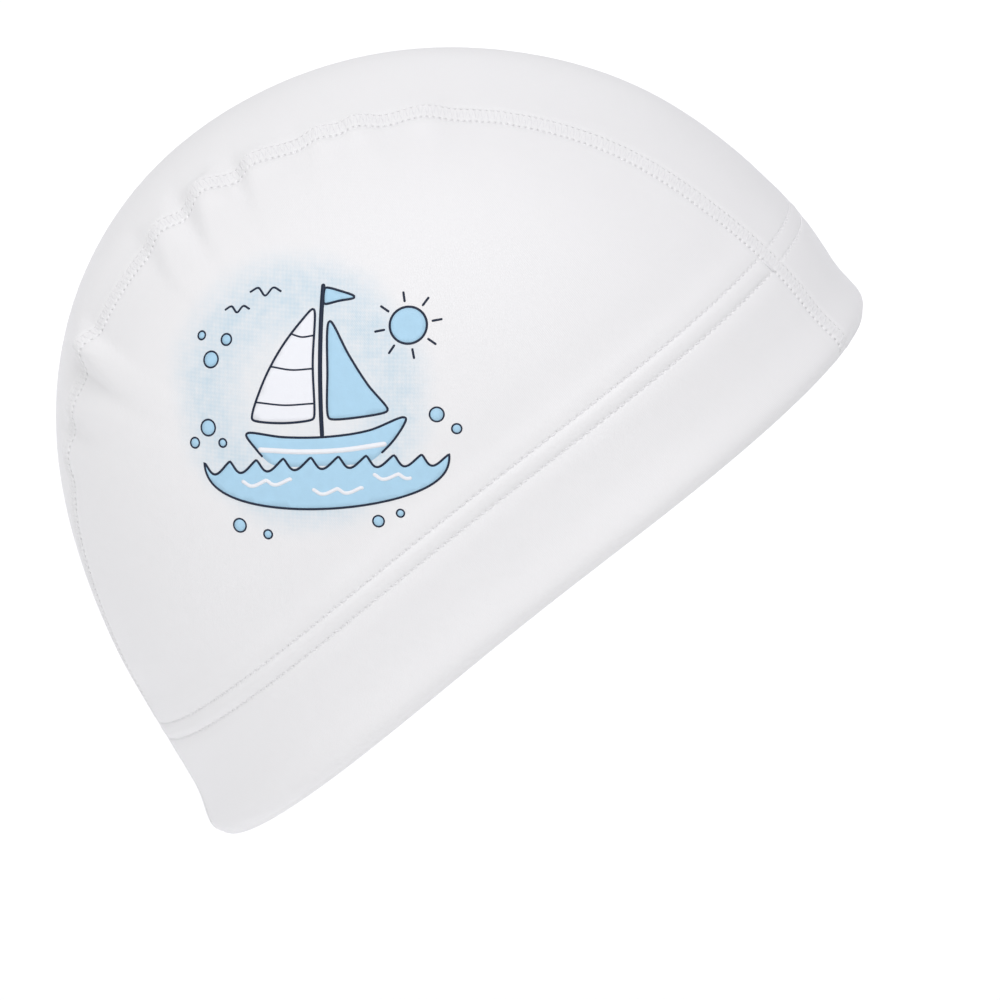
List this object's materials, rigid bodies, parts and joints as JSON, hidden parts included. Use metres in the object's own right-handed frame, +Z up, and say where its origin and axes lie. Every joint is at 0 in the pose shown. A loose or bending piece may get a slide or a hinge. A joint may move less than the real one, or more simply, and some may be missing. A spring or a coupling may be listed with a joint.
{
  "type": "fabric swim cap",
  "caption": "White stretch-fabric swim cap in worn shape: centre panel, side panels, flatlock seams and a deep turned-up hem round the open rim.",
  "frame": {"origin": "where the crown's inside rests on top of the head", "axes": "+X the wearer's front, +Y the wearer's left, +Z up"},
  "size_m": [0.178, 0.1524, 0.1732],
  "materials": {
    "cloth": "smooth coated knit, matte with a soft sheen",
    "seam": "flatlock thread over cloth, matte"
  },
  "bodies": {
    "root": {"centre_panel": "cloth", "right_side_panel": "cloth", "left_side_panel": "cloth", "right_seam": "seam", "left_seam": "seam"}
  },
  "joints": []
}
